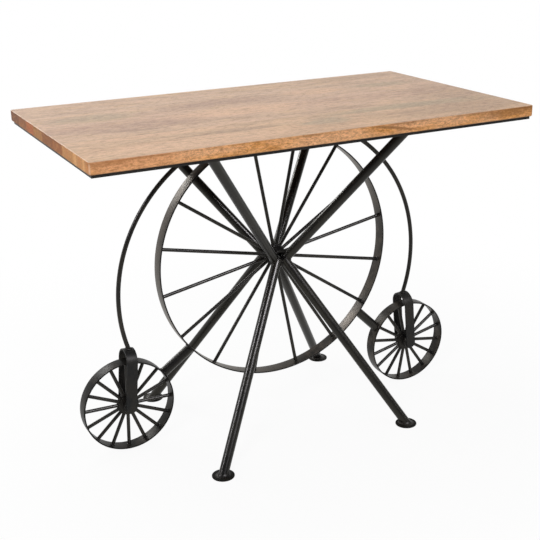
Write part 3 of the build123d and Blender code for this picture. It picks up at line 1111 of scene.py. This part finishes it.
@dataclass
class CrossedLegs:
    """The four tubes on one face of the big wheel, their foot plates and the welds between them."""

    face: Face
    finishes: Finishes
    tube_radius: float = 11.0 * MM
    distance_at_hub: float = 28.0 * MM
    upper_offset: float = 16.0 * MM
    lower_offset: float = 7.0 * MM
    upper_run_past_hub: float = 8.0 * MM
    lower_stop_before_hub: float = 8.0 * MM
    top_setback: float = 85.0 * MM
    plate_rounding: float = 0.8 * MM
    plate_step: float = 0.35 * MM
    step_outer: float = 0.84
    step_inner: float = 0.78
    plug_height: float = 3.0 * MM
    plug_inset: float = 0.8 * MM
    flare_height: float = 7.5 * MM
    flare_width: float = 6.0 * MM
    joint_weld: Weld = Weld(radius=1.9 * MM, ripple_length=3.2 * MM)
    weld_lines: int = 72
    flare_ripples: int = 22
    flare_inset: float = 0.15 * MM

    def __post_init__(self) -> None:
        """Work out the tubes of this face from the frame."""
        self.hub_centre = middle_of("main_wheel_hub")
        self.through = End.LEFT if self.face is Face.FRONT else End.RIGHT
        rail_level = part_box("frame_front_bar")[0].z
        reach_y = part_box("top_stave_8")[1].y - self.top_setback
        self.upper, self.lower, self.foot = {}, {}, {}
        for end in End:
            foot = self.node(end, "foot")
            foot_end = middle_of(foot) + half_of(foot)[2] * AXIS_Z
            rail_end = np.array([foot_end[0], self.face.value * reach_y, rail_level])
            self.upper[end] = self.bar(rail_end, end, self.upper_offset, self.upper_run_past_hub)
            self.lower[end] = self.bar(foot_end, end, self.lower_offset, -self.lower_stop_before_hub)
            self.foot[end] = foot_end

    def node(self, end: End, piece: str) -> str:
        """Return the name of a node at one end of this face."""
        return f"{self.face.word}_{end.word}_{piece}"

    def bar(self, outer: Array, end: End, offset: float, past: float) -> Bar:
        """Return a tube from its outer end to a run past its point nearest to the hub's axis.

        Args:
            outer: Its foot or its end at the rail.
            end: The end of the table that it runs to.
            offset: How far beside the hub's axis it passes.
            past: How far it runs on; below zero it stops short.

        Returns:
            The tube, from its outer end inwards.
        """
        beside = self.hub_centre + np.array([end.value * offset, self.face.value * self.distance_at_hub, 0])
        run = outer - beside
        share = end.value * offset * run[0] / (run[0] ** 2 + run[2] ** 2)
        return Bar(outer, beside - run * share - unit(run) * past, self.tube_radius)

    def joint(self, tube: Bar, others: list[Bar]) -> Array:
        """Return the line where a tube meets the first of the others, as the bead's middle line.

        Args:
            tube: The tube that is cut to fit.
            others: The tubes that it may meet.

        Returns:
            The line's points, one for each line of the tube.
        """
        lines = tube.lines(self.weld_lines)
        reach = np.min([other.reach(lines, tube.along) for other in others], axis=0)
        return lines + np.minimum(reach, tube.length)[:, None] * tube.along

    def plug(self, tube: Bar) -> Array:
        """Return the weld dome that closes the hub end of the tube that runs through.

        It is a shallow cap: rings that shrink as a quarter ellipse while they move outwards.

        Args:
            tube: The tube that runs through.

        Returns:
            The dome's grid, closed at both ends.
        """
        radius = np.array([self.tube_radius - 0.1 * MM, 0.0])
        quarter = np.linspace(0, math.pi / 2, 9)[:, None]
        outline = np.vstack([[(0.0, 0.0)], around(quarter, radius, np.array([0.0, self.plug_height]))])
        centre = tube.end - tube.along * self.plug_inset
        return turned(outline, centre, 48, *tube.sides(), tube.along).swapaxes(0, 1)

    def foot_plate(self, end: End) -> Array:
        """Return a foot plate: a softened disc, turned upright, with a shallow step inside its edge.

        Args:
            end: The end of the table that it stands at.

        Returns:
            The plate's grid.
        """
        node = self.node(end, "foot")
        radius, height = half_of(node)[0], 2 * half_of(node)[2]
        low = height - self.plate_step
        outer, inner = radius * self.step_outer, radius * self.step_inner
        outline = [(0, 0), (radius, 0), (radius, low), (outer, low), (inner, height), (0, height)]
        curve = np.vstack([[(0, 0)], softened(outline, self.plate_rounding)[5:25], [(0, height)]])
        base = self.foot[end] - height * AXIS_Z
        return turned(curve, base, 96, AXIS_X, AXIS_Y, AXIS_Z).swapaxes(0, 1)

    def flare(self, tube: Bar, level: float, height: float, width: float) -> Array:
        """Return the concave, rippled weld between a tube and the flat face that it stands on.

        Along each line of the tube, the height over the face falls as (1 - t) squared and the
        distance from the tube grows as t squared.

        Args:
            tube: The tube, which starts at the face.
            level: The face's Z.
            height: How far up the tube the weld reaches; below zero it hangs down from the face.
            width: How far out on the face it reaches.

        Returns:
            The weld's grid.
        """
        lines = tube.lines(self.weld_lines)
        lines = np.vstack([lines, lines[:1]])
        t = np.linspace(0, 1, 9)[:, None, None]
        z = level + height * (1 - t) ** 2
        on_tube = lines + tube.along * ((z - lines[:, 2:]) / tube.along[2])
        away = unit(square_to(lines - tube.start, AXIS_Z))
        phase = np.linspace(0, FULL_TURN, self.weld_lines + 1)[None, :, None]
        ripple = 1 + 0.10 * np.cos(self.flare_ripples * phase) + 0.16 * np.sin(3 * phase + tube.start[0])
        grid = on_tube + away * (width * t**2 - self.flare_inset) * ripple
        return grid[::-1] if height > 0 else grid

    def build(self) -> None:
        """Dress the tubes and add the plates and welds."""
        weld = self.finishes.weld
        for end in End:
            for level in ("upper", "lower"):
                dress(self.node(end, f"{level}_leg"), self.finishes.tube)
            foot = self.node(end, "foot")
            add_piece(f"{foot}_plate", [self.foot_plate(end)], self.finishes.plate, (foot,))
            lower, upper = self.lower[end], self.upper[end]
            base = self.flare(lower, self.foot[end][2], self.flare_height, self.flare_width)
            add_piece(f"{foot}_weld", [base], weld)
            rail = self.flare(upper, upper.start[2], -self.flare_height, 0.6 * self.flare_width)
            add_piece(self.node(end, "rail_weld"), [rail], weld)
        whole, fitted = self.upper[self.through], self.upper[self.through.other]
        joints = [self.joint(fitted, [whole])]
        joints += [self.joint(self.lower[end], [whole, fitted]) for end in End]
        grids = [self.joint_weld.along(path, path.mean(axis=0)) for path in joints]
        add_piece(f"{self.face.word}_hub_joint_welds", [*grids, self.plug(whole)], weld)


@dataclass
class Outrigger:
    """What holds a small wheel: the strap fork over it, the bent rod above and the brace beside it."""

    end: End
    drop_at_main_wheel: float
    drop_at_small_wheel: float
    finishes: Finishes
    strap_width: float = 25.0 * MM
    strap_thickness: float = 4.0 * MM
    gap_over_wheel: float = 24.0 * MM
    reach_below_hub: float = 11.5 * MM
    lean: float = 11.0 * MM
    strap_rounding: float = 0.9 * MM
    brace_radius: float = 11.0 * MM
    rod_radius: float = 5.0 * MM
    weld_ring: float = 1.12
    brace_weld_gap: float = 0.3 * MM
    crown_weld: Weld = Weld(radius=2.0 * MM, ripple_length=3.0 * MM)
    brace_weld: Weld = Weld(radius=1.8 * MM, ripple_length=3.0 * MM)

    def __post_init__(self) -> None:
        """Take the wheels' places from the frame."""
        self.word = self.end.word
        self.hub_centre = middle_of(f"{self.word}_wheel_rim")
        self.wheel_radius = half_of(f"{self.word}_wheel_rim")[2]
        self.main_centre = middle_of("main_wheel_rim")
        self.main_radius = half_of("main_wheel_rim")[2]
        self.side_reach = half_of(f"{self.word}_fork")[1] - self.strap_thickness / 2
        self.rise = self.wheel_radius + self.gap_over_wheel + self.strap_thickness / 2
        lean = math.asin(self.lean / (self.rise + self.strap_thickness / 2))
        self.strap_up = around(lean, AXIS_Z, -self.end.value * AXIS_X)
        self.strap_side = np.cross(AXIS_Y, self.strap_up)

    def fork(self) -> Array:
        """Return the strap: a softened rectangle carried along a hairpin.

        The hairpin runs up beside the wheel, over it in a half circle and down again. Within half a
        width of each tip the strap narrows as a circle does, w = sqrt(r squared - (r - d) squared).

        Returns:
            The strap's grid.
        """
        tip, bend = -self.reach_below_hub, self.rise - self.side_reach
        half_width = self.strap_width / 2
        near_tip = half_width * (1 - np.cos(np.linspace(0, math.pi / 2, 14)))
        leg_run = np.concatenate([near_tip, np.linspace(half_width, bend - tip, 12)[1:]])
        angle = np.linspace(0, math.pi, 33)[1:-1]
        level = 0 * leg_run
        y = self.side_reach * np.concatenate([level - 1, -np.cos(angle), level + 1])
        z = np.concatenate([tip + leg_run, bend + self.side_reach * np.sin(angle), tip + leg_run[::-1]])
        from_tip = np.concatenate([leg_run, 0 * angle + self.strap_width, leg_run[::-1]])
        short = np.clip(half_width - from_tip, 0, half_width)
        width = np.sqrt(half_width**2 - short**2) / half_width
        path = self.hub_centre + y[:, None] * AXIS_Y + z[:, None] * self.strap_up
        turn = np.concatenate([level, angle, level + math.pi])[:, None]
        side = np.broadcast_to(self.strap_side, path.shape)
        outline = softened(rectangle(self.strap_width, self.strap_thickness), self.strap_rounding)
        outlines = outline[None] * np.stack([width, 1 + 0 * width], axis=-1)[:, None]
        return swept(path, side, np.cross(around(turn, self.strap_up, AXIS_Y), side), outlines)

    def crown_joint(self) -> Array:
        """Return the bead's middle line round the rod where it lands on the strap's crown.

        Returns:
            The line's points.
        """
        crown = self.hub_centre + self.strap_up * (self.rise + self.strap_thickness / 2)
        angle = np.linspace(0, FULL_TURN, 61)[:-1, None]
        ring = self.rod_radius * self.weld_ring * around(angle, self.strap_side, AXIS_Y)
        outer = self.side_reach + self.strap_thickness / 2
        sag = outer - np.sqrt(outer**2 - ring[:, 1:2] ** 2)
        return crown + ring - (sag - 0.2 * MM) * self.strap_up

    def brace_joints(self) -> list[Array]:
        """Return the beads' middle lines at both ends of the brace.

        Seen along Y, both hoops are circles. A line of the tube meets one at the root of the quadratic
        that sets its distance from the hoop's middle to the hoop's radius.

        Returns:
            The line at the big wheel and the line at the small one.
        """
        run = unit(self.hub_centre - self.main_centre)
        below = self.end.value * np.cross(AXIS_Y, run)
        start = self.main_centre + run * self.main_radius + below * self.drop_at_main_wheel
        end = self.hub_centre - run * self.wheel_radius + below * self.drop_at_small_wheel
        tube = Bar(start, end, self.brace_radius)
        lines = tube.lines(72, self.brace_weld_gap)
        paths = []
        hoops = ((self.main_centre, self.main_radius, 1), (self.hub_centre, self.wheel_radius, -1))
        for centre, radius, side in hoops:
            flat = square_to(lines - centre, AXIS_Y)
            half = flat @ tube.along
            root = np.sqrt(half**2 - np.sum(flat**2, axis=1) + radius**2)
            paths.append(lines + (side * root - half)[:, None] * tube.along)
        return paths

    def build(self) -> None:
        """Make the fork and the welds, and dress the rod and the brace."""
        add_piece(f"{self.word}_strap_fork", [self.fork()], self.finishes.flat, (f"{self.word}_fork",))
        dress(f"{self.word}_bent_rod", self.finishes.rod)
        dress(f"{self.word}_brace", self.finishes.tube)
        crown = self.crown_joint()
        grids = [self.crown_weld.along(crown, crown.mean(axis=0))]
        grids += [self.brace_weld.along(path, path.mean(axis=0)) for path in self.brace_joints()]
        add_piece(f"{self.word}_outrigger_welds", grids, self.finishes.weld)


# ---- studio and camera ----


def standing(place: Array, back: Array, tilt: float = 0.0) -> Matrix:
    """Return the placing of a camera or lamp.

    Args:
        place: Where it stands.
        back: The unit direction away from what it faces.
        tilt: How far it rolls, in radians.

    Returns:
        The matrix in the world's frame.
    """
    right = unit(np.cross(AXIS_Z, back))
    up = np.cross(back, right)
    turn = np.stack([around(tilt, right, up), around(tilt, up, -right), back], axis=1)
    return Matrix.Translation(place) @ Matrix(turn.tolist()).to_4x4()


@dataclass(frozen=True)
class Viewpoint:
    """Where the camera stands and how it is framed. Angles are in degrees."""

    azimuth: float = -27.848
    elevation: float = 20.038
    roll: float = -0.771
    distance: float = 2.37889
    target: Point = (0.036737, 0.0, 0.3608)
    focal_length: float = 67.28
    shift_x: float = -0.03183
    sensor_width: float = 36.0

    def build(self) -> None:
        """Place the camera on a sphere about its target, looking in."""
        turn, rise, tilt = (math.radians(angle) for angle in (self.azimuth, self.elevation, self.roll))
        back = around(rise, around(turn, -AXIS_Y, AXIS_X), AXIS_Z)
        data = bpy.data.cameras.new("camera")
        data.lens = self.focal_length
        data.sensor_width = self.sensor_width
        data.shift_x = self.shift_x
        camera = new_object("camera", data)
        camera.matrix_world = standing(np.array(self.target) + back * self.distance, back, tilt)
        bpy.context.scene.camera = camera


class Lit(Enum):
    """What a lamp lights, as (matt colour, sheen)."""

    ALL = (True, True)
    COLOUR = (True, False)
    SHEEN = (False, True)


@dataclass(frozen=True)
class Softbox:
    """A rectangular studio lamp that faces a point."""

    name: str
    place: Point
    width: float
    height: float
    watts: float
    lit: Lit = Lit.ALL
    colour: Rgb = WHITE
    facing: Point = (0.0, 0.0, 0.4)

    def build(self) -> None:
        """Make the lamp."""
        data = bpy.data.lights.new(self.name, "AREA")
        data.shape = "RECTANGLE"
        data.size, data.size_y = self.width, self.height
        data.energy = self.watts
        data.color = self.colour
        lamp = new_object(self.name, data)
        lamp.visible_camera = False
        lamp.visible_diffuse, lamp.visible_glossy = self.lit.value
        lamp.matrix_world = standing(self.place, unit(np.array(self.place) - np.array(self.facing)))


COOL_LIGHT = (0.93, 0.94, 1.12)


@dataclass(frozen=True)
class Studio:
    """A white sweep with soft lamps, in a room that is dim behind the viewer."""

    world_strength: float = 0.42
    room_strength: float = 0.15
    floor_rings: tuple[float, ...] = (0.0, 2.0, 8.0, 40.0)
    floor_shadow: float = 0.07
    shadow_fade: tuple[float, float] = (0.6, 1.5)
    room_fade: tuple[float, float] = (1.0, 3.0)
    floor_colour: Rgb = (0.9, 0.9, 0.9)
    lamps: tuple[Softbox, ...] = (
        Softbox("key_softbox", (-2.4, -2.2, 2.6), 0.9, 1.8, 52.0, Lit.COLOUR),
        Softbox("fill_softbox", (2.6, -2.2, 1.4), 0.3, 1.8, 9.0),
        Softbox("overhead_softbox", (-0.4, 0.8, 3.2), 2.4, 1.6, 32.0),
        Softbox("rim_softbox", (-1.3, 3.0, 1.9), 0.5, 1.6, 20.0),
        Softbox("left_streak", (-2.52, 0.42, 1.91), 0.5, 0.7, 50.0, Lit.SHEEN, COOL_LIGHT),
        Softbox("back_streak", (-0.9, 2.85, 1.8), 0.5, 0.35, 19.0, Lit.SHEEN),
        Softbox("front_streak", (0.58, -2.4, 2.2), 1.0, 0.8, 130.0, Lit.SHEEN, COOL_LIGHT),
    )

    def sees_background(self, g: Graph) -> Wire:
        """Return 1 for the rays that show the background: camera, glossy and transmission rays."""
        return (g.ray("Camera") + g.ray("Glossy") + g.ray("Transmission")).above(0.0, 1.0)

    def dimmed(self, g: Graph, room: Wire) -> Wire:
        """Return a light's strength, which the room's share dims for glossy rays."""
        return 1 - room * g.ray("Glossy") * (1 - self.room_strength)

    def world(self) -> None:
        """Fill the world with plain light that shows as white.

        Polished metal sees the white sweep behind the table, and the dim room at -Y in front of it.
        """
        world = bpy.data.worlds.new("studio_world")
        world.use_nodes = True
        bpy.context.scene.world = world
        g = Graph(world.node_tree)
        seen = self.sees_background(g)
        _, ahead, _ = g.parts(g.node("ShaderNodeTexCoord", output="Generated"))
        light = self.dimmed(g, (0 - ahead).above(-0.3, 0.35))
        strength = seen * light + (1 - seen) * self.world_strength
        g.surface(g.node("ShaderNodeBackground", inputs={"Color": WHITE, "Strength": strength}))

    def floor(self) -> None:
        """Lay a round floor that is white to the camera and keeps a soft shadow near the table."""
        material, g = new_graph("studio_floor_white")
        x, y, _ = g.parts(g.place())
        away = ((x * x + y * y) ** 0.5).above(*self.shadow_fade)
        light = self.dimmed(g, (0 - y).above(*self.room_fade))
        white = g.node("ShaderNodeEmission", inputs={"Color": WHITE, "Strength": light})
        matt = g.node("ShaderNodeBsdfDiffuse", inputs={"Color": self.floor_colour})
        share = self.sees_background(g) * (1 - (1 - away) * self.floor_shadow)
        g.surface(g.node("ShaderNodeMixShader", inputs={0: share, 1: matt, 2: white}))
        outline = np.array([(radius, 0.0) for radius in self.floor_rings])
        grid = turned(outline, np.zeros(3), 96, AXIS_X, AXIS_Y, AXIS_Z).swapaxes(0, 1)
        floor = new_object("studio_floor", new_mesh("studio_floor", [grid], material))

    def build(self) -> None:
        """Set up the floor, the world and the lamps."""
        self.world()
        self.floor()
        for lamp in self.lamps:
            lamp.build()
        bpy.context.scene.view_settings.view_transform = "Standard"


# ---- everything ----


def main() -> None:
    """Build the camera, the studio and the table's sub-assemblies, in order."""
    logging.basicConfig(level=logging.INFO, format="%(message)s")
    Viewpoint().build()
    Studio().build()
    finishes = metal_finishes()
    TableTop().dress()
    SteelFrame(finishes).build()
    spokes = tuple(f"main_wheel_spoke_{number:02d}" for number in range(1, 17))
    SpokedWheel("main_wheel", spokes, math.radians(10.4), finishes.band, finishes).build()
    ends = (
        (End.LEFT, -2.0, 14.0 * MM, 10.0 * MM, finishes.left_band),
        (End.RIGHT, 12.3, 5.0 * MM, 14.0 * MM, finishes.right_band),
    )
    for end, start, main_drop, small_drop, paint in ends:
        spokes = (f"{end.word}_wheel_spokes",)
        SpokedWheel(f"{end.word}_wheel", spokes, math.radians(start), paint, finishes).build()
        Outrigger(end, main_drop, small_drop, finishes).build()
    for face in Face:
        CrossedLegs(face, finishes).build()


if __name__ == "__main__":
    main()
